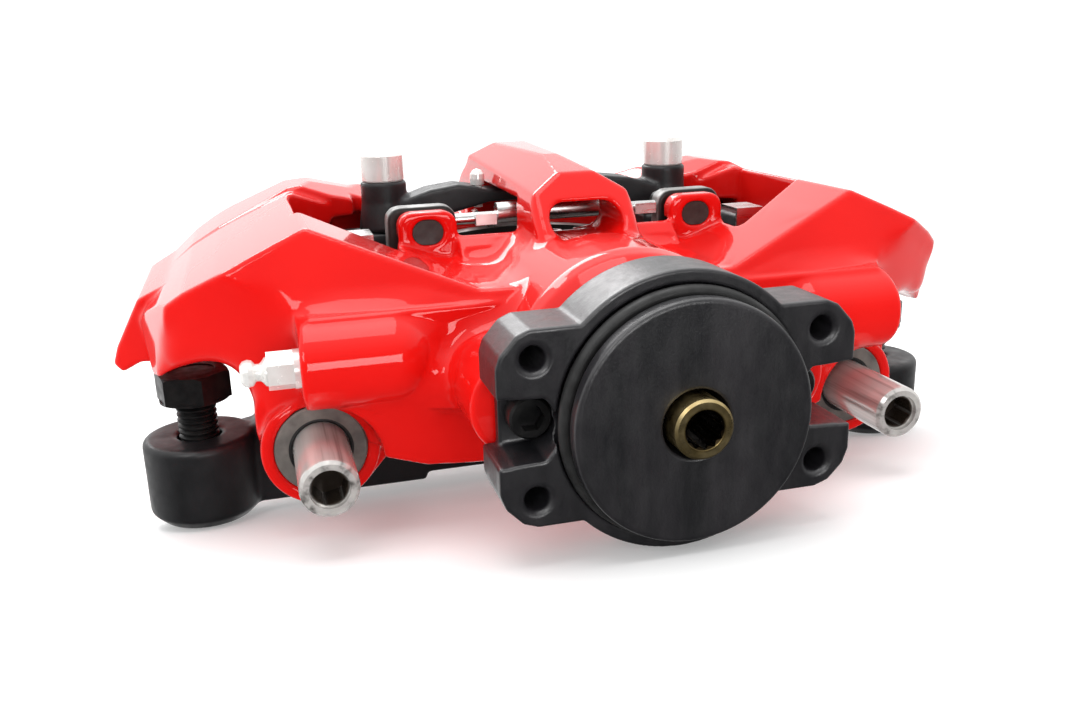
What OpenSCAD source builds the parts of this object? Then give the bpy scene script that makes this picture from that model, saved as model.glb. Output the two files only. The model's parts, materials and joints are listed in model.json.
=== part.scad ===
// Floating rear brake caliper with an electric parking brake drive, on its carrier.
// Origin: midway between the two radial mounting bores, on their lower faces.
// +X runs along the caliper, +Y along the disc axis to the outboard side, +Z radially outwards.

/* [Mounting] */
// distance between the two radial mounting bores
mount_span = 195.3; // [180:0.1:210]
// outer radius of a mounting boss
boss_r = 14.2; // [12:0.1:16]
// height of a mounting boss
boss_h = 22; // [16:0.5:30]
// clearance radius of a mounting bore
boss_bore_r = 5.3; // [5.1:0.05:6]
// shank radius of a mounting bolt
bolt_r = 4.95; // [4:0.05:6]
// gap between a mounting bolt's head and its boss, as delivered
bolt_gap = 9.4; // [5:0.1:12]

/* [Cylinder and drive] */
// height of the cylinder axis above the mounting face
axis_z = 43.5; // [38:0.5:50]
// front face of the drive adapter's ears
face_y = -84.3; // [-95:0.1:-75]
// thickness of the drive adapter
adapter_t = 15; // [10:0.5:20]
// radius of the pilot boss
pilot_r = 24.9; // [20:0.05:30]
// height of the pilot boss above the ears
pilot_h = 6.9; // [4:0.1:10]
// half distance of the drive bolt holes, along the caliper
ear_x = 30.5; // [26:0.25:36]
// half distance of the drive bolt holes, across the caliper
ear_z = 14.4; // [12:0.1:18]
// thread core radius of a drive bolt hole
ear_hole_r = 2.5; // [2:0.05:3.5]
// half distance between the screws that hold the adapter
screw_x = 29.4; // [28:0.1:31]
// outer radius of the drive socket
socket_r = 6.1; // [5:0.1:8]
// piston radius
piston_r = 21.5; // [18:0.25:26]
// running clearance of sliding and turning fits
fit = 0.05; // [0.02:0.01:0.1]

/* [Guide pins] */
// half distance between the guide pins
pin_x = 68.8; // [60:0.1:80]
// height of the guide pins
pin_z = 26.1; // [20:0.1:35]
// guide pin radius
pin_r = 6.5; // [5:0.1:8]
// free end of a guide pin
pin_tip_y = -58.2; // [-65:0.1:-45]
// front face of a guide pin bush
bush_y = -33.9; // [-40:0.1:-28]
// outer radius of a guide pin bush
bush_r = 10.7; // [9:0.1:13]

/* [Disc and pads] */
// mid plane of the brake disc
disc_y = 27; // [20:0.5:34]
// thickness of the brake disc
disc_t = 22; // [18:1:28]
// outer radius of the brake disc
disc_r = 160; // [150:1:175]
// height of the brake disc's axis
disc_z = -98; // [-120:1:-80]
// thickness of a pad's steel backplate
plate_t = 5.5; // [4:0.5:7]
// half width of a pad
pad_w = 56; // [48:1:62]
// half distance of the pad pins
ear_pin_x = 36.5; // [30:0.1:44]
// height of the pad pins
ear_pin_z = 70.4; // [60:0.1:78]

/* [Housing] */
// half distance between the two shoulder ridges
ridge_x = 68; // [60:0.5:76]
// height of the shoulder ridges
ridge_z = 77.6; // [70:0.1:84]
// height of the valley beside the bridge
valley_z = 62.5; // [58:0.5:68]
// outboard face of the housing
back_y = 70; // [62:0.5:80]
// half distance of the brace screws
brace_x = 42.35; // [38:0.05:48]
// plane of the brace screws, along the disc axis
brace_y = 30.2; // [26:0.1:34]

/* [Hidden] */
$fn = 64;
bolt_x = mount_span / 2;
inner_face = disc_y - disc_t / 2;
outer_face = disc_y + disc_t / 2;
in_plate_y = -1.5;
out_plate_y = outer_face + 12;
wall_y = out_plate_y + plate_t + 0.3;
back_face_y = face_y + adapter_t;
port_y = -41;
port_z = 49;
bleed_y = -42;
bleed_z = 48.6;
bleed_x = 72.3;
arm_z = 66;
rivet_x = 15.8;
bridge_w = 13.2;
post_h = 13.7;
rivet_y = brace_y - 2.6;
bore_r = piston_r + fit;
journal_r = 5.95;
screw_r = 5;

// ---- helpers ----

// everything beyond the plane through p with normal n
module beyond(p, n) {
  translate(p)
    rotate([0, acos(n[2] / norm(n)), atan2(n[1], n[0])])
      translate([-250, -250, 0])
        cube([500, 500, 250]);
}

// an X-Z outline, extruded from y0 to y1
module prism_y(points, y0, y1) {
  translate([0, y1, 0])
    rotate([90, 0, 0])
      linear_extrude(height = y1 - y0)
        polygon(points);
}

// an X-Y outline, extruded from z0 to z1
module prism_z(points, z0, z1) {
  translate([0, 0, z0])
    linear_extrude(height = z1 - z0)
      polygon(points);
}

// a Y-Z outline, extruded from x0 to x1
module prism_x(points, x0, x1) {
  translate([x0, 0, 0])
    rotate([90, 0, 90])
      linear_extrude(height = x1 - x0)
        polygon(points);
}

// a round bar along Y
module rod_y(x, z, y0, y1, r) {
  translate([x, y1, z])
    rotate([90, 0, 0])
      cylinder(r = r, h = y1 - y0);
}

// a round bar along X
module rod_x(x0, x1, y, z, r) {
  translate([x0, y, z])
    rotate([0, 90, 0])
      cylinder(r = r, h = x1 - x0);
}

// a box between two corners
module block(a, b) {
  translate(a)
    cube(b - a);
}

// a radius-depth profile turned about the cylinder axis, depth along +Y
module turned(points) {
  translate([0, 0, axis_z])
    rotate([-90, 0, 0])
      rotate_extrude()
        polygon(points);
}

module both_sides() {
  children();
  mirror([1, 0, 0])
    children();
}

// the space the disc needs, with a margin
module disc_space(gap, y0, y1) {
  rod_y(0, disc_z, y0, y1, disc_r + gap, $fn = 200);
}

// ---- carrier ----

module carrier_boss() {
  translate([bolt_x, 0, 0])
    rotate_extrude()
      polygon([[0, 0], [boss_r - 3, 0], [boss_r, 3], [boss_r, boss_h - 1], [boss_r - 1, boss_h],
        [0, boss_h]]);
}

// web from the mounting boss to the guide pin lug and the pad abutment
module carrier_web() {
  difference() {
    prism_y([[40, 2], [95, 2], [95, 19], [84, 21], [80, 33], [68, 40], [67, arm_z], [58, arm_z], [58, 20.5],
      [46, 10.5], [40, 10.5]], -4, 13.2);
    beyond([80, -4, 20], [0.35, -0.9, 0.2]);
  }
}

// arm over the disc, with the outboard abutment and the seat of the brace
module carrier_arm() {
  difference() {
    union() {
      prism_y([[56.5, 61], [58, arm_z], [64, arm_z], [67, 60], [67, 54], [58, 56]], -4, 54);
      prism_y([[58, arm_z], [64, arm_z], [67, 60], [67, 24], [64, 21], [58, 21]], 41, 54);
      prism_z([[34, 24], [37, 22.8], [60, 22.8], [60, 37.4], [37, 37.4], [34, 36]], 60.5, arm_z);
    }
    beyond([62, 53, arm_z], [0, 0.7, 0.7]);
    beyond([62, 53, 21], [0, 0.7, -0.7]);
    disc_space(2.2, 13.2, 41);
    translate([brace_x, brace_y, 50])
      cylinder(r = 3.4, h = 30);
  }
}

module carrier_half() {
  difference() {
    union() {
      carrier_boss();
      carrier_web();
      rod_y(pin_x, pin_z, -4, 13.2, 10.7);
    }
    translate([bolt_x, 0, -1])
      cylinder(r = boss_bore_r, h = 30);
    translate([bolt_x, 0, -0.01])
      cylinder(r1 = boss_bore_r + 0.8, r2 = boss_bore_r, h = 0.8);
    rod_y(pin_x, pin_z, -10, 30, 4.5);
  }
  carrier_arm();
}

module carrier() {
  color([0.06, 0.06, 0.065])
    union() {
      both_sides()
        carrier_half();
      // tie bar under the cylinder
      prism_y([[-42, 4], [42, 4], [42, 10.5], [30, 9], [-30, 9], [-42, 10.5]], -4, 9);
    }
}

module mount_bolt(side) {
  translate([side * bolt_x, 0, 0])
    difference() {
      union() {
        translate([0, 0, 0.6])
          cylinder(r1 = bolt_r - 0.6, r2 = bolt_r, h = 0.8);
        translate([0, 0, 1.4])
          cylinder(r = bolt_r - 0.35, h = 6);
        // rolled thread below the plain shank
        for (i = [0 : 19])
          translate([0, 0, 1.4 + i * 1.5])
            rotate_extrude()
              polygon([[0, 0], [bolt_r - 0.7, 0], [bolt_r, 0.55], [bolt_r, 0.95], [bolt_r - 0.7, 1.5],
                [0, 1.5]]);
        translate([0, 0, boss_h + bolt_gap])
          cylinder(r = 8.6, h = 0.6);
        intersection() {
          translate([0, 0, boss_h + bolt_gap + 0.4])
            rotate([0, 0, -14])
              cylinder(r = 9.5, h = 7, $fn = 6);
          translate([0, 0, boss_h + bolt_gap - 9])
            cylinder(r1 = 27, r2 = 8.2, h = 16.9);
        }
      }
      // dished head
      translate([0, 0, boss_h + bolt_gap + 7.1])
        cylinder(r1 = 5.6, r2 = 6.2, h = 1);
    }
}

module mount_bolt_left() {
  color([0.05, 0.05, 0.055])
    mount_bolt(-1);
}

module mount_bolt_right() {
  color([0.05, 0.05, 0.055])
    mount_bolt(1);
}

module guide_pin() {
  translate([pin_x, 0, pin_z])
    rotate([-90, 0, 0])
      difference() {
        union() {
          rotate_extrude()
            polygon([[0, pin_tip_y], [5.7, pin_tip_y], [6.4, pin_tip_y + 0.7], [pin_r, pin_tip_y + 1.4],
              [pin_r, -4.02], [0, -4.02]]);
          translate([0, 0, -4.1])
            cylinder(r = 4.48, h = 18.4);
        }
        // recess around the hexagon socket
        translate([0, 0, pin_tip_y - 1])
          cylinder(r = 4.4, h = 2.2);
        translate([0, 0, pin_tip_y - 1])
          rotate([0, 0, 12])
            cylinder(r = 4.1, h = 9, $fn = 6);
      }
}

module guide_pins() {
  color([0.72, 0.71, 0.69])
    both_sides()
      guide_pin();
}

// ---- brace over the disc ----

module brace() {
  color([0.06, 0.06, 0.065])
    difference() {
      union() {
        both_sides() {
          translate([brace_x, brace_y, arm_z + 0.02])
            cylinder(r1 = 7.6, r2 = 6.4, h = 8);
          translate([brace_x, brace_y, arm_z + 0.02])
            cylinder(r = 6.4, h = post_h);
          prism_y([[13, 72.5], [30, 68.5], [42, 66.1], [42, 74], [36, 75], [30, 77], [22, 78], [17, 77.2],
            [13, 76]], brace_y - 5.5, brace_y + 5.5);
        }
        prism_y([[-14, 72.5], [14, 72.5], [14, 76], [-14, 76]], brace_y - 5.5, brace_y + 5.5);
      }
      both_sides() {
        translate([brace_x, brace_y, 50])
          cylinder(r = 4.3, h = 40);
        translate([rivet_x, rivet_y, 60])
          cylinder(r = 1.32, h = 30);
      }
    }
}

// domed rivets beside the bridge
module brace_rivets() {
  color([0.8, 0.8, 0.78])
    both_sides()
      translate([rivet_x, rivet_y, 0])
        rotate_extrude()
          polygon([[0, 71], [1.3, 71], [1.3, 77.4], [1.9, 77.4], [2.1, 79], [2, 80.4], [1.3, 81.4],
            [0, 81.9]]);
}

module brace_screw() {
  translate([brace_x, brace_y, 0])
    difference() {
      union() {
        translate([0, 0, 60])
          cylinder(r = 3.38, h = 17);
        translate([0, 0, 70])
          cylinder(r = 3.98, h = 10);
        translate([0, 0, arm_z + post_h + 0.04])
          rotate_extrude()
            polygon([[0, 0], [5.6, 0], [5.9, 0.4], [5.9, 7], [5.2, 8], [0, 8]]);
      }
      translate([0, 0, arm_z + post_h + 3.5])
        cylinder(r = 3.46, h = 6, $fn = 6);
      translate([0, 0, arm_z + post_h + 7.5])
        cylinder(r1 = 3.4, r2 = 4.2, h = 0.8);
    }
}

module brace_screws() {
  color([0.8, 0.8, 0.78])
    both_sides()
      brace_screw();
}

// stainless clips between the pads and the carrier
module clip(y0, y1) {
  difference() {
    block([57.2, y0, 24], [57.9, y1, 55.9]);
    block([50, y0 + 3, 43.5], [60, y1 - 3, 48]);
  }
  block([56.3, y0 + 1, 22.1], [57.9, y1 - 1, 22.8]);
  block([57.2, y0 + 1, 22.1], [57.9, y1 - 1, 24.5]);
}

// folded tab in front of the arm, over the pad's shoulder
module clip_tab() {
  block([57.2, -4.9, 46], [57.9, -2.5, 55.9]);
  block([50, -4.9, 52], [57.9, -4.2, 70.4]);
  block([50, -4.9, 69.7], [57.9, 5, 70.4]);
}

module abutment_clips() {
  color([0.68, 0.69, 0.7])
    both_sides() {
      clip(-3, 13);
      clip_tab();
      clip(41.2, 53.5);
    }
}

// ---- housing ----

// shoulder and legs of one half
module shoulder() {
  difference() {
    prism_y([[-1, 40], [-1, valley_z], [31, valley_z], [ridge_x, ridge_z], [79.2, 72.6], [88, 68.4],
      [95.6, 64.2], [102, 59.4], [106.5, 55], [109, 51], [106, 40],
      [102, 42.6], [92, 46.8], [86, 46], [82, 36], [60, 36]], -60, 46);
    // inboard front face, with its swept leg
    beyond([67, -32.5, 77.2], [0.095, -0.92, 0.38]);
    beyond([100.2, -24.3, 60.4], [0.448, -0.857, -0.255]);
    beyond([101, -22.3, 54], [0.966, -0.248, 0.08]);
  }
}

// outboard half, higher beside the bridge
module outboard_shoulder() {
  difference() {
    union() {
      prism_y([[-1, 16], [-1, 79], [15, 79], [33, 75.6], [50, 75.6], [62, 79], [ridge_x + 0.6, 78.4],
        [79.2, 73.2], [88.2, 68.8], [95.8, 64.4], [102.2, 59.2], [107.7, 54], [112, 48], [112, 40],
        [84, 34], [60, 16]], 38, back_y);
      prism_y([[92, 64], [106, 57.5], [109.1, 56], [116.1, 43], [117.6, 38.4], [115.4, 36.2], [110.3, 39.3],
        [92, 41]], 8.5, 62);
    }
    beyond([53, 40, 74.5], [-0.344, -0.147, 0.927]);
    beyond([108, 8.5, 50], [0.5, -0.86, 0]);
    beyond([112, 56, 48], [0.55, 0.83, 0]);
    beyond([60, 60, 78], [0, 0.6, 0.8]);
    beyond([92, back_y, 60], [0.62, 0.78, 0]);
    beyond([74, back_y, 28], [0.5, 0.35, -0.8]);
  }
}

// body between the cylinder and the guide pin boss
module lower_body() {
  prism_y([[-1, 21], [35, 22], [46, 23], [58, 27], [70, 40], [70, 60], [31, 60], [-1, 60]], -44.5, -6);
}

module bridge() {
  difference() {
    prism_y([[-bridge_w, 55], [-bridge_w, 76], [-12.2, 80], [-12.2, 87], [12.2, 87], [12.2, 80],
      [bridge_w, 76], [bridge_w, 55]], -34, back_y);
    beyond([0, -30.9, 66.8], [0, -0.767, 0.641]);
    beyond([0, -16.2, 84.4], [0, -0.116, 0.993]);
    both_sides() {
      beyond([4.8, -16.3, 84.4], [0.518, -0.035, 0.854]);
      beyond([11.9, -24, 75.06], [0.75, -0.506, 0.423]);
    }
    beyond([0, 52, 87], [0, 0.6, 0.8]);
  }
}

// oblong bar at the pad pin, 1.6 wider than high
module oblong_y(r, y0, y1) {
  for (i = [-0.8, 0.8])
    rod_y(ear_pin_x + i, ear_pin_z, y0, y1, r);
  block([ear_pin_x - 0.8, y0, ear_pin_z - r], [ear_pin_x + 0.8, y1, ear_pin_z + r]);
}

// pad tongue, with its pin hole
module tongue() {
  difference() {
    prism_y([[29, 58], [29, 72.8], [30, 74.7], [31.9, 75.6], [41.1, 75.6], [43, 74.7], [44, 72.8], [44, 58]],
      -8.1, -2.6);
    oblong_y(3.2, -20, -5.4);
    rod_y(ear_pin_x, ear_pin_z, -6, 0, 3.03);
  }
}

// sloping ledge beside the bridge, with an oblong recess
module ledge() {
  difference() {
    prism_x([[-6, 56], [-6, 69], [-8.5, 69], [-17, 61.5], [-17, 56]], 12, 29.5);
    translate([22, -12.75, 65.25])
      rotate([41.4, 0, 0])
        union() {
          translate([-5, -1.2, -1])
            cube([10, 2.4, 2]);
          for (x = [-5, 5])
            translate([x, 0, -1])
              cylinder(r = 1.2, h = 2);
        }
  }
}

// horizontal boss of the bleed screw or the inlet
module port_boss() {
  rod_x(52, bleed_x, port_y, port_z, 10.3);
  translate([52, port_y, port_z])
    sphere(r = 10.3);
  difference() {
    prism_x([[-25, 45], [-25, 66], [-34, 63], [-38.6, 60.8], [-49, 55.4], [-50, 50]], 46, bleed_x);
    beyond([52, -46, 57], [-0.5, -0.5, 0.2]);
  }
}

module housing_solid() {
  both_sides() {
    shoulder();
    outboard_shoulder();
    lower_body();
    tongue();
    ledge();
    port_boss();
    // guide pin boss
    rod_y(pin_x, pin_z, bush_y, -6, 13.8);
    prism_y([[50, 24], [58, 15], [68, 12.4], [80, 18], [83, 30], [83, 47], [50, 55]], -29, -6);
    // lug for the adapter screw
    rod_y(screw_x, axis_z, back_face_y + 0.02, -40, 10.8);
  }
  bridge();
  // cylinder barrel
  turned([[0, back_face_y + 0.02], [25, back_face_y + 0.02], [25, -62], [26, -61], [27.6, -58.5],
    [28.4, -55], [28.4, -6], [0, -6]]);
}

// pad cavity with room for the carrier's arms
module pad_cavity() {
  prism_y([[-57.2, -60], [57.2, -60], [57.2, 69], [-57.2, 69]], -6, wall_y);
  both_sides() {
    // carrier abutments
    prism_y([[56, -60], [68.5, -60], [68.5, 67.3], [56, 67.3]], -5.99, 62.5);
    // guide pin lugs and mounting web
    prism_y([[50, -60], [130, -60], [130, 33], [86, 40], [56, 44]], -6, 40);
  }
}

module top_opening() {
  prism_z([[bridge_w, -2.6], [44.5, -2.6], [44.5, -17], [46, -17], [ridge_x + 0.5, -4.3],
    [ridge_x + 0.8, 31], [53, 40], [50.2, 41], [50.2, 46.6], [bridge_w, 46.6]], 45, 100);
}

module housing() {
  color([0.75, 0.03, 0.03])
    difference() {
      housing_solid();
      pad_cavity();
      both_sides() {
        top_opening();
        // bush and guide pin bores
        rod_y(pin_x, pin_z, -60, -36.5, 13.4);
        rod_y(pin_x, pin_z, -60, -14, bush_r + 0.02);
        rod_y(pin_x, pin_z, -60, 10, pin_r + 0.6);
        // adapter screw threads
        rod_y(screw_x, axis_z, -75, -56, 2.55);
        // outboard face pockets
        prism_y([[20, 30], [62, 38], [70, 60], [20, 55]], back_y - 4, back_y + 1);
        // drilling from the port to the cylinder
        rod_x(15, bleed_x - 8, bleed_y, bleed_z, 1.8);
      }
      disc_space(3, inner_face - 4, outer_face + 4);
      // brace passage
      prism_y([[-15.6, 60], [15.6, 60], [15.6, 77.2], [-15.6, 77.2]], -5.99, 47);
      window();
      // lower outline of the outboard wall
      disc_space(-46, 40, back_y + 1);
      // cylinder bore, seal groove, boot recess, spindle bore
      turned([[0, -62], [bore_r, -62], [bore_r, -20.5], [24, -20.5], [24, -16.5], [bore_r, -16.5],
        [bore_r, -11], [25, -11], [25, 0], [0, 0]]);
      turned([[0, -75], [journal_r + fit, -75], [journal_r + fit, -60], [0, -60]]);
      // bleed screw seat and fluid inlet
      rod_x(-bleed_x - 1, -bleed_x + 14, bleed_y, bleed_z, 4 + fit);
      rod_x(bleed_x - 11.4, bleed_x + 1, bleed_y, bleed_z, 4.5);
      rod_x(bleed_x - 14, bleed_x - 11, bleed_y, bleed_z, 4.2);
      both_sides()
        rod_x(bleed_x - 0.8, bleed_x + 2, bleed_y, bleed_z, 7);
    }
}

// window through the foot of the bridge
module window() {
  translate([0, 30, 0])
    rotate([90, 0, 0])
      linear_extrude(height = 63)
        union() {
          translate([-5.1, 69.2])
            square([10.2, 8.4]);
          both_sides()
            translate([5.1, 73.4])
              circle(r = 4.2);
        }
}

module guide_bush() {
  translate([pin_x, 0, pin_z])
    rotate([-90, 0, 0])
      rotate_extrude()
        polygon([[pin_r + fit, -32.4], [7.5, -32.4], [7.5, bush_y], [bush_r - 0.4, bush_y],
          [bush_r, bush_y + 0.4], [bush_r, -14.02], [pin_r + fit, -14.02]]);
}

module guide_bushes() {
  color([0.34, 0.32, 0.3])
    both_sides()
      guide_bush();
}

module pin_wipers() {
  color([0.03, 0.03, 0.03])
    both_sides()
      translate([pin_x, 0, pin_z])
        rotate([-90, 0, 0])
          rotate_extrude()
            polygon([[pin_r + 0.07, -32.42], [7.48, -32.42], [7.48, bush_y + 0.15], [7.1, bush_y + 0.1],
              [pin_r + 0.07, bush_y + 0.6]]);
}

// ---- parking brake drive ----

module adapter_outline() {
  union() {
    circle(r = 29.2);
    both_sides()
      polygon([[0, -20.3], [30.4, -20.3], [33.5, -19.2], [36.8, -15.8], [38, -12.6], [38, 13],
        [37.2, 15.4], [33.8, 19.2], [31.2, 20.3], [0, 20.3]]);
  }
}

module adapter() {
  color([0.07, 0.065, 0.075])
    translate([0, 0, axis_z])
      rotate([-90, 0, 0])
        difference() {
          union() {
            translate([0, 0, face_y])
              linear_extrude(height = adapter_t)
                mirror([0, 1])
                  adapter_outline();
            rotate_extrude()
              polygon([[0, face_y + 2], [23.5, face_y + 2], [23.5, face_y - 3.4], [pilot_r, face_y - 3.4],
                [pilot_r, face_y - pilot_h + 0.5], [pilot_r - 0.5, face_y - pilot_h],
                [0, face_y - pilot_h]]);
          }
          // seal groove
          rotate_extrude()
            polygon([[23.5, face_y - 3], [26.4, face_y - 3], [26.4, face_y + 2.6], [23.5, face_y + 2.6]]);
          // ear gaps, with the adapter screws' seats
          both_sides() {
            translate([0, 0, face_y - 1])
              linear_extrude(height = 13)
                polygon([[26.6, -4], [28.6, -6.4], [40, -6.9], [40, 6.9], [28.6, 6.4], [26.6, 4]]);
            translate([35.2, -6.9, face_y - 1])
              cube([5, 13.8, 20]);
            translate([screw_x, 0, face_y])
              cylinder(r = 3.3, h = 20);
            translate([screw_x, 0, face_y + 3.3])
              cylinder(r = 4.8, h = 8.7);
            for (z = [-ear_z, ear_z])
              translate([ear_x, z, face_y - 1]) {
                cylinder(r = ear_hole_r, h = 13.5);
                cylinder(r1 = 4.4, r2 = ear_hole_r, h = 1.9);
              }
          }
          // spindle bore
          translate([0, 0, face_y - 10])
            cylinder(r = 7.1, h = 12);
          translate([0, 0, face_y + 1])
            cylinder(r = 8, h = 6.6);
          translate([0, 0, face_y])
            cylinder(r = journal_r + fit, h = 20);
        }
}

module adapter_screws() {
  color([0.05, 0.05, 0.055])
    both_sides()
      translate([screw_x, 0, axis_z])
        rotate([-90, 0, 0])
          difference() {
            union() {
              translate([0, 0, face_y + 11])
                cylinder(r = 2.98, h = 4);
              translate([0, 0, face_y + 11])
                cylinder(r = 2.5, h = 16);
              rotate_extrude()
                polygon([[0, face_y + 7.4], [4, face_y + 7.4], [4.5, face_y + 7.9], [4.5, face_y + 11.98],
                  [0, face_y + 11.98]]);
            }
            translate([0, 0, face_y + 7])
              cylinder(r = 2.9, h = 3.4, $fn = 6);
          }
}

module pilot_seal() {
  color([0.02, 0.02, 0.02])
    translate([0, 0, axis_z])
      rotate([-90, 0, 0])
        translate([0, 0, face_y - 0.9])
          rotate_extrude()
            translate([24.95, 0])
              circle(r = 1.42);
}

// brass coupling with a twelve-point socket
module drive_socket() {
  color([0.72, 0.55, 0.25])
    translate([0, 0, axis_z])
      rotate([-90, 0, 0])
        difference() {
          rotate_extrude()
            polygon([[0, face_y - 10.4], [socket_r - 0.5, face_y - 10.4], [socket_r, face_y - 9.9],
              [socket_r, face_y + 3.6], [0, face_y + 3.6]]);
          translate([0, 0, face_y - 11])
            linear_extrude(height = 12.4)
              polygon([for (i = [0 : 23]) (i % 2 == 0 ? 4.1 : 3.55) * [cos(i * 15), sin(i * 15)]]);
          translate([0, 0, face_y - 10.5])
            cylinder(r1 = 4.3, r2 = 3.6, h = 0.6);
          translate([0, 0, face_y + 1])
            cylinder(r = 3.02, h = 5);
        }
}

module spindle() {
  color([0.55, 0.55, 0.56])
    turned([[0, face_y + 1.6], [2.7, face_y + 1.6], [3, face_y + 1.9], [3, face_y + 3.6],
      [5.4, face_y + 3.6], [5.4, face_y + 6.4], [4.6, face_y + 6.4], [4.6, face_y + 7.6],
      [journal_r, face_y + 7.6], [journal_r, -67], [5.2, -67], [5.2, -65], [journal_r, -65],
      [journal_r, -57.85], [12, -57.85], [12, -54.9], [screw_r, -54.9], [screw_r, -18], [4, -17], [0, -17]]);
}

module spindle_circlip() {
  color([0.3, 0.3, 0.32])
    translate([0, 0, axis_z])
      rotate([-90, 0, 0])
        translate([0, 0, face_y + 6.45])
          linear_extrude(height = 1.1)
            difference() {
              circle(r = 7.3);
              circle(r = 4.62);
              translate([-1, 2])
                square([2, 8]);
            }
}

module thrust_bearing() {
  color([0.6, 0.6, 0.62])
    turned([[6.3, -61.95], [13.5, -61.95], [13.5, -60.9], [12.6, -60.9], [12.6, -58.95], [13.5, -58.95],
      [13.5, -57.9], [6.3, -57.9], [6.3, -58.95], [7.4, -58.95], [7.4, -60.9], [6.3, -60.9]]);
}

module spindle_seal() {
  color([0.03, 0.03, 0.03])
    translate([0, -66, axis_z])
      rotate([-90, 0, 0])
        rotate_extrude()
          translate([5.6, 0])
            circle(r = 0.38);
}

module spindle_nut() {
  color([0.7, 0.56, 0.3])
    translate([0, 0, axis_z])
      rotate([-90, 0, 0])
        intersection() {
          rotate_extrude()
            polygon([[screw_r + fit, -49], [12, -49], [14.6, -46], [14.6, -30], [11, -22], [11, -17.5],
              [screw_r + fit, -17.5]]);
          translate([-12.9, -20, -60])
            cube([25.8, 40, 60]);
        }
}

module piston() {
  color([0.66, 0.67, 0.68])
    translate([0, 0, axis_z])
      rotate([-90, 0, 0])
        difference() {
          rotate_extrude()
            polygon([[0, -50], [piston_r - 1, -50], [piston_r, -49], [piston_r, -8.5], [20.4, -8.5],
              [20.4, -6.6], [piston_r, -6.6], [piston_r, -2.8], [piston_r - 0.8, -2], [13, -2], [12, -3.5],
              [0, -3.5]]);
          intersection() {
            translate([0, 0, -51])
              cylinder(r = 15, h = 42);
            translate([-13.2, -20, -52])
              cube([26.4, 40, 43]);
          }
        }
}

module piston_seal() {
  color([0.1, 0.1, 0.1])
    turned([[bore_r, -20.45], [23.95, -20.45], [23.95, -16.55], [bore_r, -16.55]]);
}

// bellows in the mouth of the cylinder
module dust_boot() {
  color([0.04, 0.04, 0.04])
    turned([[22.4, -10.95], [24.95, -10.95], [24.95, -6.1], [24, -6.1], [24, -9.4], [23.4, -9.4],
      [23.4, -4.4], [21.9, -4.4], [21.9, -5.4], [22.4, -5.4]]);
}

// ---- pads ----

module pad_outline(inset) {
  intersection() {
    difference() {
      translate([0, disc_z])
        circle(r = disc_r - 1 - inset, $fn = 200);
      translate([0, disc_z])
        circle(r = disc_r - 42 + inset, $fn = 200);
    }
    polygon([[-pad_w + inset, 24], [-44, 12 + inset], [44, 12 + inset], [pad_w - inset, 24],
      [pad_w - inset, 62], [-pad_w + inset, 62]]);
  }
}

// places an X-Z outline as a plate between y0 and y1
module plate(y0, y1) {
  translate([0, y1, 0])
    rotate([90, 0, 0])
      linear_extrude(height = y1 - y0)
        children();
}

// steel plate with its guiding lugs
module backplate(y0) {
  plate(y0, y0 + plate_t)
    pad_outline(0);
  both_sides()
    block([pad_w - 8, y0, 27], [57.1, y0 + plate_t, 42]);
}

// ear that hangs on a pad pin
module ear_loop() {
  difference() {
    prism_y([[28, 50], [28, 72.8], [28.4, 74.4], [29.8, 75.8], [31.4, 76.2], [42.6, 76.2], [44.2, 75.8],
      [45.6, 74.4], [46, 72.8], [46, 66], [49, 50]], in_plate_y, in_plate_y + plate_t);
    rod_y(ear_pin_x, ear_pin_z, -10, 10, 3.02 + fit);
  }
}

module inboard_backplate() {
  color([0.4, 0.4, 0.4])
    union() {
      backplate(in_plate_y);
      both_sides()
        ear_loop();
    }
}

module friction(y0, y1) {
  difference() {
    plate(y0, y1)
      pad_outline(2.5);
    // wear slot
    block([-1.5, y0 + 2, 0], [1.5, y1 + 1, 80]);
    both_sides()
      beyond([50, y1, 30], [0.7, 0.7, 0]);
  }
}

module inboard_friction() {
  color([0.2, 0.19, 0.18])
    friction(in_plate_y + plate_t, inner_face - 0.4);
}

module outboard_backplate() {
  color([0.4, 0.4, 0.4])
    backplate(out_plate_y);
}

module outboard_friction() {
  color([0.2, 0.19, 0.18])
    translate([0, 2 * disc_y, 0])
      mirror([0, 1, 0])
        friction(2 * disc_y - out_plate_y, inner_face - 0.4);
}

// stainless cross pin between the two ears, with flats beside the bridge
module cross_pin() {
  color([0.75, 0.75, 0.74])
    union() {
      rod_x(-16.8, 16.8, 1.2, 72.9, 2.7);
      rod_x(-27.98, 27.98, 1.2, 71.9, 1.5);
      block([-22.8, -1.4, 70.3], [-17.2, 3.4, 73.1]);
      block([21.5, -1.4, 70.3], [27.5, 3.4, 73.1]);
    }
}

module pad_pins() {
  color([0.62, 0.62, 0.6])
    both_sides()
      union() {
        oblong_y(3.1, -7.3, -5.42);
        rod_y(ear_pin_x, ear_pin_z, -5.5, 19, 3.02);
      }
}

// leaf spring on the outboard pad's upper edge
module pad_clip() {
  color([0.75, 0.75, 0.74])
    both_sides()
      prism_y([[-0.5, 61.02], [8, 61.02], [12.4, 66], [11.4, 66.8], [7.4, 62.1], [-0.5, 62.1]], 50.6, 55);
}

// ---- hydraulics ----

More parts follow.
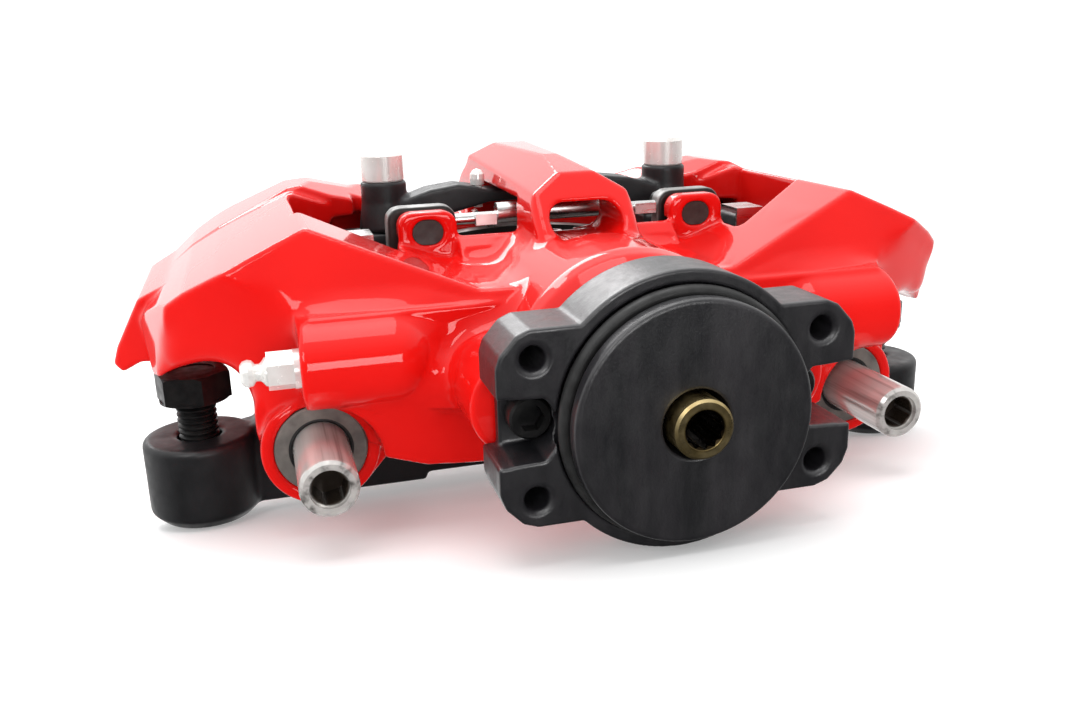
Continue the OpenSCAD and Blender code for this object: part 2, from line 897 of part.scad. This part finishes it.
module bleed_screw() {
  color([0.85, 0.84, 0.8])
    translate([-bleed_x, bleed_y, bleed_z])
      rotate([0, -90, 0])
        difference() {
          union() {
            rotate_extrude()
              polygon([[0, -12.4], [1.5, -12.4], [4, -9.9], [4, 0.2], [0, 0.2]]);
            translate([0, 0, 0.1])
              rotate_extrude()
                polygon([[0, -0.85], [4.4, -0.85], [4.4, 1], [3.2, 1], [3.2, 7], [2.3, 7.7], [1.9, 8.2],
                  [1.9, 9], [2.8, 9.7], [3.05, 10.6], [2.7, 11.7], [1.9, 12.3], [0, 12.3]]);
            translate([0, 0, 0.9])
              cylinder(r = 4.4, h = 5.8, $fn = 6);
          }
          translate([0, 0, 2])
            cylinder(r = 0.9, h = 20);
        }
}

module inlet_seat() {
  color([0.7, 0.6, 0.35])
    difference() {
      rod_x(bleed_x - 13.95, bleed_x - 11.45, bleed_y, bleed_z, 4.18);
      rod_x(bleed_x - 15, bleed_x - 11, bleed_y, bleed_z, 1.6);
    }
}

carrier();
mount_bolt_left();
mount_bolt_right();
guide_pins();
brace();
brace_screws();
brace_rivets();
abutment_clips();
housing();
guide_bushes();
pin_wipers();
adapter();
adapter_screws();
pilot_seal();
drive_socket();
spindle();
spindle_circlip();
thrust_bearing();
spindle_seal();
spindle_nut();
piston();
piston_seal();
dust_boot();
inboard_backplate();
inboard_friction();
outboard_backplate();
outboard_friction();
cross_pin();
pad_pins();
pad_clip();
bleed_screw();
inlet_seat();
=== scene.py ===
import json
import math

import bpy
import numpy as np
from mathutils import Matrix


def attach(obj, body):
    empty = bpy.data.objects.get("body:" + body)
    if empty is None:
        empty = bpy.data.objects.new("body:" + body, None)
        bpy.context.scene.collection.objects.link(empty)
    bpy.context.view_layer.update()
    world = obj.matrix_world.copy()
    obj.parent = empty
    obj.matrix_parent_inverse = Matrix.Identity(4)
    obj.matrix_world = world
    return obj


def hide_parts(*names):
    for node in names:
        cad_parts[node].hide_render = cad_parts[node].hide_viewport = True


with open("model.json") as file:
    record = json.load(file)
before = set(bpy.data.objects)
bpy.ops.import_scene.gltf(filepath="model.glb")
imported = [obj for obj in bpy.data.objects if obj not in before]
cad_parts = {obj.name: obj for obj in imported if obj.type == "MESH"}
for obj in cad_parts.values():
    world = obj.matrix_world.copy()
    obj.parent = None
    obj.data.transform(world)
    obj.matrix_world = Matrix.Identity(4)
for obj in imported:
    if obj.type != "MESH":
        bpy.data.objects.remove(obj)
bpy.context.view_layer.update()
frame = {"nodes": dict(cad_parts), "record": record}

import openvdb as vdb
from mathutils import Matrix, Vector

MM = 0.001
nodes = frame["nodes"]


# ---------- materials ----------

class Paint:
    """A Principled material with procedural colour, roughness and relief."""

    def __init__(self, name, rough=0.4, **inputs):
        self.mat = bpy.data.materials.new(name)
        self.mat.use_nodes = True
        self.tree = self.mat.node_tree
        self.bsdf = self.tree.nodes["Principled BSDF"]
        self.bsdf.inputs["Roughness"].default_value = rough
        for key, value in inputs.items():
            self.bsdf.inputs[key.replace("_", " ")].default_value = value
        self.coord = self.add("ShaderNodeTexCoord")
        self.normal = None

    def add(self, kind, **props):
        node = self.tree.nodes.new(kind)
        for key, value in props.items():
            setattr(node, key, value)
        return node

    def link(self, a, b):
        self.tree.links.new(a, b)

    def noise(self, scale, detail=3.0, rough=0.5, stretch=None, distortion=0.0):
        tex = self.add("ShaderNodeTexNoise")
        tex.inputs["Scale"].default_value = scale
        tex.inputs["Detail"].default_value = detail
        tex.inputs["Roughness"].default_value = rough
        tex.inputs["Distortion"].default_value = distortion
        out = self.coord.outputs["Object"]
        if stretch:
            m = self.add("ShaderNodeMapping")
            m.inputs["Scale"].default_value = stretch
            self.link(out, m.inputs["Vector"])
            out = m.outputs["Vector"]
        self.link(out, tex.inputs["Vector"])
        return tex.outputs["Fac"]

    def ramp(self, fac, stops):
        r = self.add("ShaderNodeValToRGB")
        while len(r.color_ramp.elements) < len(stops):
            r.color_ramp.elements.new(0.5)
        for e, (pos, col) in zip(r.color_ramp.elements, stops):
            e.position = pos
            e.color = (*col, 1.0)
        self.link(fac, r.inputs["Fac"])
        return r.outputs["Color"]

    def colour(self, fac, stops):
        self.link(self.ramp(fac, stops), self.bsdf.inputs["Base Color"])
        return self

    def roughness(self, fac, lo, hi, low=0.3, high=0.7):
        m = self.add("ShaderNodeMapRange")
        for key, value in (("From Min", low), ("From Max", high), ("To Min", lo), ("To Max", hi)):
            m.inputs[key].default_value = value
        self.link(fac, m.inputs["Value"])
        self.link(m.outputs["Result"], self.bsdf.inputs["Roughness"])
        return self

    def relief(self, height, strength, depth_mm):
        b = self.add("ShaderNodeBump")
        b.inputs["Strength"].default_value = strength
        b.inputs["Distance"].default_value = depth_mm * MM
        self.link(height, b.inputs["Height"])
        if self.normal:
            self.link(self.normal, b.inputs["Normal"])
        self.normal = b.outputs["Normal"]
        self.link(self.normal, self.bsdf.inputs["Normal"])
        return self

    def coat_relief(self):
        self.link(self.normal, self.bsdf.inputs["Coat Normal"])
        return self

    def rings(self, centre, axis_turn, scale, distortion=0.4):
        m = self.add("ShaderNodeMapping")
        m.vector_type = "TEXTURE"
        m.inputs["Location"].default_value = centre
        m.inputs["Rotation"].default_value = axis_turn
        self.link(self.coord.outputs["Object"], m.inputs["Vector"])
        w = self.add("ShaderNodeTexWave", wave_type="RINGS", rings_direction="Z")
        w.inputs["Scale"].default_value = scale
        w.inputs["Distortion"].default_value = distortion
        w.inputs["Detail"].default_value = 2.0
        w.inputs["Detail Scale"].default_value = 3.0
        self.link(m.outputs["Vector"], w.inputs["Vector"])
        return w.outputs["Fac"]


    def facing(self, axis, low, high, level):
        """0 to level as the object-space normal's component goes from low to high."""
        split = self.add("ShaderNodeSeparateXYZ")
        self.link(self.coord.outputs["Normal"], split.inputs["Vector"])
        return self.between(split.outputs[axis], low, high, level)

    def radius(self, centre, low, high, level):
        """0 to level between two radii about an axis along Y, or its mirror image."""
        whole = self.add("ShaderNodeVectorMath", operation="ABSOLUTE")
        self.link(self.coord.outputs["Object"], whole.inputs[0])
        m = self.add("ShaderNodeMapping")
        m.inputs["Location"].default_value = [-c for c in centre]
        m.inputs["Scale"].default_value = (1.0, 0.0, 1.0)
        self.link(whole.outputs["Vector"], m.inputs["Vector"])
        size = self.add("ShaderNodeVectorMath", operation="LENGTH")
        self.link(m.outputs["Vector"], size.inputs[0])
        return self.between(size.outputs["Value"], low, high, level)

    def between(self, value, low, high, level):
        m = self.add("ShaderNodeMapRange")
        m.inputs["From Min"].default_value = low
        m.inputs["From Max"].default_value = high
        m.inputs["To Min"].default_value = 0.0
        self.link(level, m.inputs["To Max"])
        self.link(value, m.inputs["Value"])
        return m.outputs["Result"]


AXIS = (0.0, 0.0, 0.0435)  # a point on the cylinder axis
FACE_Y = (math.radians(90), 0.0, 0.0)
GUIDE = (0.0688, 0.0, 0.0261)  # a point on the guide pin axis
BRASS_SOCKET_SHADE = (0.0040, 0.0045)  # radii between which the painted shade inside the drive socket turns to brass
# radii between which the painted shade inside the guide pins' hex sockets turns to steel
PIN_SOCKET_SHADE = (0.0038, 0.0043)


def red_lacquer():
    p = Paint("red_lacquer", rough=0.5, Coat_Weight=1.0, Coat_Roughness=0.05, Coat_IOR=1.38,
              Specular_IOR_Level=0.05)
    p.colour(p.noise(28, 3), [(0.3, (0.64, 0.003, 0.002)), (0.7, (0.72, 0.006, 0.004))])
    p.relief(p.noise(150, 2), 0.10, 0.10)
    p.relief(p.noise(900, 2), 0.05, 0.04)
    p.coat_relief()
    return p.mat


def black_casting():
    p = Paint("black_casting", Specular_IOR_Level=0.5)
    p.colour(p.noise(120, 4), [(0.3, (0.007, 0.007, 0.008)), (0.75, (0.016, 0.016, 0.018))])
    p.roughness(p.noise(260, 4), 0.34, 0.52)
    p.relief(p.noise(420, 5, 0.6), 0.35, 0.12)
    p.relief(p.noise(90, 2), 0.15, 0.3)
    return p.mat


def black_machined():
    p = Paint("black_machined", Specular_IOR_Level=1.0)
    p.colour(p.noise(60, 5, stretch=(3.0, 1.0, 0.5)),
             [(0.35, (0.006, 0.006, 0.008)), (0.7, (0.018, 0.016, 0.019))])
    p.roughness(p.noise(300, 5, 0.65, stretch=(1.0, 1.0, 0.5)), 0.30, 0.48)
    p.relief(p.noise(1500, 3, 0.6), 0.55, 0.07)
    p.relief(p.noise(500, 4, 0.6, stretch=(2.2, 1.0, 0.35)), 0.45, 0.09)
    p.relief(p.rings(AXIS, FACE_Y, 700), 0.04, 0.02)
    return p.mat


def black_bolt():
    p = Paint("black_bolt", Metallic=0.6)
    p.colour(p.noise(300, 4), [(0.3, (0.010, 0.010, 0.011)), (0.75, (0.030, 0.029, 0.028))])
    p.roughness(p.noise(500, 4), 0.30, 0.5)
    p.relief(p.noise(900, 3), 0.2, 0.05)
    return p.mat


def steel_pin():
    p = Paint("steel_pin", Metallic=0.4)
    # inside the hex socket the colour is painted dark brown as shade; outside it, grey steel with
    # streaks along Y
    p.colour(p.radius(GUIDE, *PIN_SOCKET_SHADE, p.noise(420, 4, stretch=(1, 0.03, 1))),
             [(0.0, (0.035, 0.025, 0.018)), (0.30, (0.16, 0.15, 0.14)), (0.46, (0.54, 0.52, 0.50)),
              (0.7, (0.68, 0.66, 0.63))])
    p.roughness(p.noise(700, 4, stretch=(1, 0.05, 1)), 0.12, 0.26)
    p.relief(p.noise(1500, 2, stretch=(1, 0.04, 1)), 0.08, 0.02)
    return p.mat


def nickel():
    p = Paint("nickel", Metallic=0.3)
    p.colour(p.noise(200, 4), [(0.3, (0.74, 0.73, 0.70)), (0.7, (0.86, 0.85, 0.83))])
    p.roughness(p.noise(600, 4), 0.16, 0.28)
    p.relief(p.noise(800, 3), 0.05, 0.03)
    return p.mat


def stainless():
    p = Paint("stainless", Metallic=1.0)
    p.colour(p.noise(150, 3), [(0.3, (0.55, 0.55, 0.54)), (0.7, (0.70, 0.70, 0.69))])
    p.roughness(p.noise(900, 3, stretch=(0.1, 1, 1)), 0.2, 0.36)
    p.relief(p.noise(1500, 2, stretch=(0.06, 1, 1)), 0.1, 0.02)
    return p.mat


def bush():
    p = Paint("bush", Metallic=0.35)
    p.colour(p.noise(260, 5), [(0.3, (0.13, 0.12, 0.11)), (0.72, (0.24, 0.22, 0.20))])
    p.roughness(p.noise(400, 4), 0.5, 0.7)
    p.relief(p.noise(900, 4), 0.25, 0.08)
    return p.mat


def rubber():
    p = Paint("rubber")
    p.colour(p.noise(300, 3), [(0.3, (0.010, 0.010, 0.010)), (0.7, (0.022, 0.022, 0.022))])
    p.roughness(p.noise(350, 4), 0.42, 0.62)
    p.relief(p.noise(1200, 3), 0.15, 0.04)
    return p.mat


def brass():
    p = Paint("brass", Metallic=1.0)
    # inside the drive socket the colour is painted near-black as shade; outside it, brass
    p.colour(p.radius(AXIS, *BRASS_SOCKET_SHADE, p.noise(260, 5)),
             [(0.0, (0.020, 0.014, 0.007)), (0.3, (0.42, 0.31, 0.13)), (0.7, (0.70, 0.56, 0.29))])
    p.roughness(p.noise(500, 4), 0.24, 0.42)
    p.relief(p.noise(1100, 3), 0.25, 0.05)
    return p.mat


def turned_steel():
    p = Paint("turned_steel", Metallic=1.0)
    p.colour(p.noise(150, 3), [(0.3, (0.34, 0.34, 0.35)), (0.7, (0.50, 0.50, 0.51))])
    p.roughness(p.noise(300, 3), 0.25, 0.4)
    p.relief(p.noise(1500, 2, stretch=(0.05, 1, 0.05)), 0.15, 0.03)
    return p.mat


def plate_steel():
    p = Paint("plate_steel", Metallic=0.5)
    # faces turned towards -Y are painted dark as shade; other faces keep the grey steel tone
    p.colour(p.facing("Y", -0.9, -0.3, p.noise(180, 5)),
             [(0.0, (0.022, 0.022, 0.021)), (0.35, (0.20, 0.20, 0.195)), (0.7, (0.42, 0.42, 0.41))])
    p.roughness(p.noise(300, 4), 0.34, 0.55)
    p.relief(p.noise(700, 4), 0.25, 0.06)
    return p.mat


def dark_pin_painted_shade():
    p = Paint("dark_pin_painted_shade")
    # near-black: the pad pins' own dark steel, made darker as painted shade of the recesses they sit in
    p.colour(p.noise(350, 4), [(0.3, (0.008, 0.009, 0.008)), (0.7, (0.030, 0.032, 0.028))])
    p.roughness(p.noise(500, 4), 0.3, 0.5)
    p.relief(p.noise(900, 3), 0.2, 0.05)
    return p.mat


def friction():
    p = Paint("friction", rough=0.85)
    p.colour(p.noise(900, 5, 0.7),
             [(0.3, (0.02, 0.018, 0.017)), (0.5, (0.07, 0.06, 0.055)), (0.8, (0.18, 0.15, 0.12))])
    p.relief(p.noise(800, 5, 0.7), 0.6, 0.3)
    return p.mat


SKIN = {
    "housing_red": red_lacquer(), "carrier_black": black_casting(), "anodised_black": black_machined(),
    "bolt_black": black_bolt(), "pin_steel": steel_pin(), "nickel": nickel(), "stainless": stainless(),
    "bush_grey": bush(), "seal_rubber": rubber(), "brass": brass(), "machined_steel": turned_steel(),
    "piston_metal": turned_steel(), "plate_steel": plate_steel(), "friction": friction(),
}
SLOT = {s["node"]: s["material_slot"] for s in frame["record"]["subparts"]}
BODY = {n: b for b, names in frame["record"]["behaviour"]["bodies"].items() for n in names}

OWN = {"pad_pins": dark_pin_painted_shade()}  # nodes with a look of their own

for name, ob in nodes.items():
    for s in ob.material_slots:
        s.material = OWN.get(name) or SKIN[SLOT[name]]


# ---------- shapes from distance fields ----------

def surface(ob):
    mesh = ob.data
    mesh.calc_loop_triangles()
    points = np.empty(len(mesh.vertices) * 3, np.float32)
    mesh.vertices.foreach_get("co", points)
    tris = np.empty(len(mesh.loop_triangles) * 3, np.int32)
    mesh.loop_triangles.foreach_get("vertices", tris)
    return points.reshape(-1, 3) / MM, tris.reshape(-1, 3).astype(np.uint32)


def box_pass(a, axis, k):
    """Mean over 2k + 1 cells along one axis."""
    pad = [(0, 0)] * 3
    pad[axis] = (k + 1, k)
    run = np.cumsum(np.pad(a, pad, mode="edge"), axis=axis, dtype=np.float64)
    n = a.shape[axis]
    take = [slice(None)] * 3
    drop = [slice(None)] * 3
    take[axis] = slice(2 * k + 1, 2 * k + 1 + n)
    drop[axis] = slice(0, n)
    return ((run[tuple(take)] - run[tuple(drop)]) / (2 * k + 1)).astype(np.float32)


def blurred(a, k, passes):
    for _ in range(passes):
        for axis in range(3):
            a = box_pass(a, axis, k)
    return a


def ease(t):
    t = np.clip(t, 0.0, 1.0)
    return t * t * (3.0 - 2.0 * t)


def band(v, low, high, soft):
    """1 between low and high, easing to 0 over soft on both sides."""
    return ease((v - low) / soft + 1.0) * ease((high - v) / soft + 1.0)


class Field:
    """A distance field in millimetres on a dense grid, inside negative."""

    def __init__(self, points, tris, pitch, reach):
        self.pitch = pitch
        grid = vdb.FloatGrid.createLevelSetFromPolygons(
            points, triangles=tris, halfWidth=reach / pitch,
            transform=vdb.createLinearTransform(voxelSize=pitch))
        low = np.floor(points.min(0) / pitch).astype(int) - 6
        size = np.ceil(points.max(0) / pitch).astype(int) + 7 - low
        self.low = low
        self.values = np.full(size, reach, np.float32)
        grid.copyToArray(self.values, ijk=tuple(int(v) for v in low))

    def part(self, box):
        """Slices of a box and its X, Y and Z coordinates in millimetres."""
        cut, axes = [], []
        for i, (a, b) in enumerate(box):
            start = max(int(a / self.pitch) - self.low[i], 0)
            stop = min(int(b / self.pitch) - self.low[i] + 1, self.values.shape[i])
            cut.append(slice(start, stop))
            shape = [1, 1, 1]
            shape[i] = -1
            cells = (np.arange(start, stop) + self.low[i]) * self.pitch
            axes.append(cells.astype(np.float32).reshape(shape))
        return tuple(cut), axes

    def soften(self, fillet, passes=3):
        """Slightly rounded edges everywhere, inner corners filled a little more."""
        edges = blurred(self.values, 1, 1)
        self.values = np.minimum(edges, blurred(self.values, fillet, passes))

    def blend(self, box, k, soft, keep=None, edges=False):
        """Large cast fillets inside a box, fading out at its sides, and round edges if asked."""
        cut, (x, y, z) = self.part([(a - soft, b + soft) for a, b in box])
        a = self.values[cut]
        weight = band(x, *box[0], soft) * band(y, *box[1], soft) * band(z, *box[2], soft)
        if keep:
            weight = weight * keep(x, y, z)
        smooth = blurred(a, k, 3)
        if not edges:
            smooth = np.minimum(a, smooth)
        self.values[cut] = a + weight * (smooth - a)

    def polygons(self):
        grid = vdb.FloatGrid(float(self.values.max()))
        grid.transform = vdb.createLinearTransform(voxelSize=self.pitch)
        grid.copyFromArray(self.values, ijk=tuple(int(v) for v in self.low))
        return grid.convertToPolygons(isovalue=0.0)


def piece(name, points, tris, quads, skin, body):
    """A smooth mesh object from millimetre points, riding on a body."""
    mesh = bpy.data.meshes.new(name)
    faces = [tuple(reversed(f)) for f in tris.tolist() + quads.tolist()]
    mesh.from_pydata((points * MM).tolist(), [], faces)
    mesh.polygons.foreach_set("use_smooth", [True] * len(mesh.polygons))
    mesh.materials.append(skin)
    ob = bpy.data.objects.new(name, mesh)
    bpy.context.scene.collection.objects.link(ob)
    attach(ob, body)
    return ob


def recast(name, node, pitch, fillet, blends=(), reach=4.0, inset=0.0):
    """The node's shape again, as a casting with filled inner corners and rounded edges."""
    f = Field(*surface(nodes[node]), pitch, reach)
    f.soften(fillet)
    f.values += inset
    for args in blends:
        f.blend(*args)
    points, tris, quads = f.polygons()
    ob = piece(name, points, tris, quads, SKIN[SLOT[node]], BODY[node])
    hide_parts(node)
    return ob


def mirrored(box):
    """A box and its mirror image in X."""
    (a, b), y, z = box
    return [box, ((-b, -a), y, z)]


PIN_X, PIN_Z = 68.8, 26.1  # guide pin axis
PORT_X, PORT_Y, PORT_Z = 68.8, -42.0, 48.6  # inner end and axis of the bleed screw's and inlet's seats
RIDGE_X, RIDGE_Z = 68.0, 77.6
RIDGE_NORMAL = (0.458, 0.889)


def off_bores(x, y, z):
    """0 at the guide pin bores and at the seats of the bleed screw and the inlet."""
    pin = np.sqrt((np.abs(x) - PIN_X) ** 2 + (z - PIN_Z) ** 2)
    port = np.sqrt((y - PORT_Y) ** 2 + (z - PORT_Z) ** 2)
    return ease((pin - 11.3) / 2.0) * (1.0 - ease((8.5 - port) / 1.5) * ease((np.abs(x) - PORT_X) / 1.5))


def under_ridge(x, y, z):
    """0 at the shoulder's upper slope, 1 well below it."""
    depth = (RIDGE_X - np.abs(x)) * RIDGE_NORMAL[0] + (RIDGE_Z - z) * RIDGE_NORMAL[1]
    return ease((depth - 2.0) / 6.0)


BLENDS = []
for box, k, soft in (
        (((14, 62), (-66, -11), (40, 68)), 4, 6.0),
        (((44, 90), (-50, -12), (14, 60)), 4, 5.0),
        (((6, 28), (-40, -9), (55, 70)), 3, 3.0)):
    for side in mirrored(box):
        BLENDS.append((side, k, soft, off_bores))
for side in mirrored(((76, 104), (-45, -18), (40, 70))):
    BLENDS.append((side, 4, 6.0, under_ridge, True))


recast("housing_casting", "housing", 0.55, 1, BLENDS, 5.5)
recast("carrier_casting", "carrier", 0.55, 2, inset=0.08)
recast("brace_casting", "brace", 0.45, 2)
recast("adapter_body", "adapter", 0.3, 1)
recast("inboard_plate", "inboard_backplate", 0.4, 1)


# ---------- stage, light and camera ----------

def rest_plane():
    """Height at Y 0 and slope of the floor under the bosses and the adapter."""
    low = []
    for node in ("carrier", "adapter"):
        mesh = nodes[node].data
        co = np.empty(len(mesh.vertices) * 3, np.float32)
        mesh.vertices.foreach_get("co", co)
        low.append(co.reshape(-1, 3))
    boss, ring = low
    best = None
    for slope in np.linspace(0.0, 0.5, 501):
        hb = (boss[:, 2] + slope * boss[:, 1]).min()
        hr = (ring[:, 2] + slope * ring[:, 1]).min()
        if best is None or abs(hb - hr) < best[0]:
            best = (abs(hb - hr), slope, min(hb, hr))
    return best[1], best[2]


SLOPE, HEIGHT = rest_plane()


def floor():
    """A wide pale floor through the three points the part rests on."""
    up = Vector((0, SLOPE, 1)).normalized()
    ahead = Vector((0.26, 0.95, 0.0))
    ahead = (ahead - up * ahead.dot(up)).normalized()
    side = ahead.cross(up)
    start = Vector((0, 0, HEIGHT))
    steps = [-6.0, -3.0, -1.5, -0.7, -0.3, 0.0, 0.3, 0.7, 1.5, 3.0, 6.0, 12.0]
    verts = [start + ahead * i + side * j for i in steps for j in steps]
    n = len(steps)
    faces = [(i * n + j, (i + 1) * n + j, (i + 1) * n + j + 1, i * n + j + 1)
             for i in range(n - 1) for j in range(n - 1)]
    mesh = bpy.data.meshes.new("floor")
    mesh.from_pydata([tuple(v) for v in verts], [], faces)
    p = Paint("floor_paper", rough=0.7, Specular_IOR_Level=0.2, Emission_Strength=0.26)
    p.colour(p.noise(1.5, 2), [(0.3, (0.76, 0.76, 0.76)), (0.7, (0.78, 0.78, 0.78))])
    p.bsdf.inputs["Emission Color"].default_value = (1, 1, 1, 1)
    p.relief(p.noise(400, 2), 0.05, 0.05)
    mesh.materials.append(p.mat)
    ob = bpy.data.objects.new("floor", mesh)
    bpy.context.scene.collection.objects.link(ob)
    ob.visible_glossy = False


floor()


def softbox(name, place, target, width, height, power):
    """A white rectangular light aimed at a target."""
    data = bpy.data.lights.new(name, "AREA")
    data.shape = "RECTANGLE"
    data.size = width
    data.size_y = height
    data.energy = power
    ob = bpy.data.objects.new(name, data)
    ob.location = place
    ob.rotation_euler = (Vector(target) - Vector(place)).to_track_quat("-Z", "Y").to_euler()
    bpy.context.scene.collection.objects.link(ob)


CENTRE = (0.0, -0.01, 0.04)
softbox("overhead", (-0.1, 0.0, 1.2), CENTRE, 0.9, 0.7, 6)
softbox("left_front", (-0.7, -1.1, 0.9), CENTRE, 0.5, 0.5, 5)
softbox("front", (0.15, -1.3, 0.22), CENTRE, 0.6, 0.4, 6)
softbox("behind", (-0.2, 1.0, 0.75), CENTRE, 0.8, 0.4, 7)


def studio():
    """White room, bright behind and above the part and dim on the camera's side."""
    world = bpy.data.worlds.new("studio")
    world.use_nodes = True
    tree = world.node_tree
    back = tree.nodes["Background"]
    back.inputs["Color"].default_value = (1, 1, 1, 1)
    coord = tree.nodes.new("ShaderNodeTexCoord")
    turn = tree.nodes.new("ShaderNodeMapping")
    turn.inputs["Rotation"].default_value = (math.radians(-42), 0, 0)
    axes = tree.nodes.new("ShaderNodeSeparateXYZ")
    level = tree.nodes.new("ShaderNodeMapRange")
    level.interpolation_type = "SMOOTHSTEP"
    for key, value in (("From Min", -0.75), ("From Max", 0.7), ("To Min", 0.06), ("To Max", 1.3)):
        level.inputs[key].default_value = value
    tree.links.new(coord.outputs["Generated"], turn.inputs["Vector"])
    tree.links.new(turn.outputs["Vector"], axes.inputs["Vector"])
    tree.links.new(axes.outputs["Y"], level.inputs["Value"])
    tree.links.new(level.outputs["Result"], back.inputs["Strength"])
    bpy.context.scene.world = world


studio()

cam_data = bpy.data.cameras.new("camera")
cam_data.sensor_width = 36.0
cam_data.lens = 34.04
cam_data.clip_start = 0.01
cam_data.clip_end = 50.0
camera = bpy.data.objects.new("camera", cam_data)
right = Vector((0.96197, -0.27167, -0.02841))
ahead = Vector((0.25236, 0.92371, -0.28820)).normalized()
right = (right - ahead * right.dot(ahead)).normalized()
above = right.cross(ahead)
place = Matrix((right, above, -ahead)).transposed().to_4x4()
place.translation = Vector((-0.07773, -0.26161, 0.11307))
camera.matrix_world = place
bpy.context.scene.collection.objects.link(camera)
bpy.context.scene.camera = camera
bpy.context.scene.view_settings.view_transform = "Standard"
